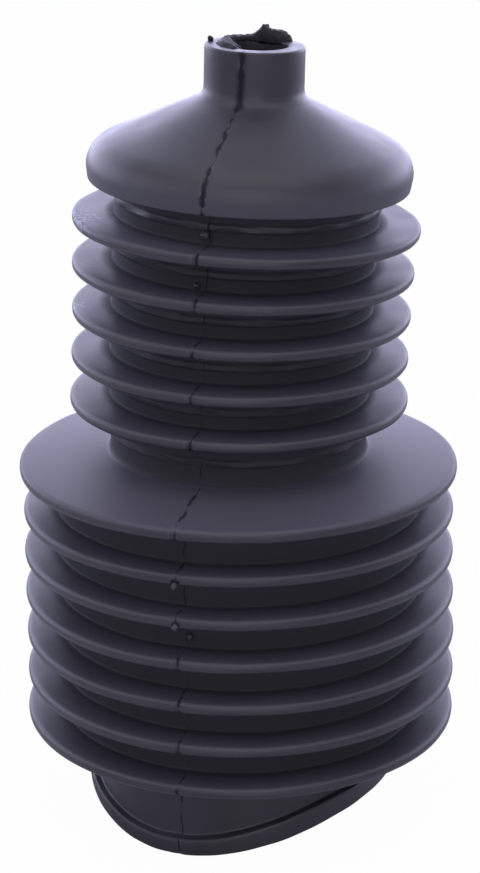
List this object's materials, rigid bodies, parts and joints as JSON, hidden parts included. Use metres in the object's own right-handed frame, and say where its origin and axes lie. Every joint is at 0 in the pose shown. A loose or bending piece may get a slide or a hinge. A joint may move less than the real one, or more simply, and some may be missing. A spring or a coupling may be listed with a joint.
{
  "type": "rubber bellows boot",
  "caption": "Stepped rubber bellows boot with a domed top, a narrow neck, thin disc folds and a saddle-shaped mouth that fits over a crossing tube.",
  "frame": {"origin": "on the boot's axis, at the height of the two lowest points of the saddle mouth", "axes": "+Z along the boot from the mouth to the neck, X along the tube that the mouth fits over"},
  "size_m": [0.0908, 0.0908, 0.163],
  "materials": {
    "moulded_rubber": "satin, dark grey"
  },
  "bodies": {
    "root": {"bellows_boot": "moulded_rubber"}
  },
  "joints": []
}
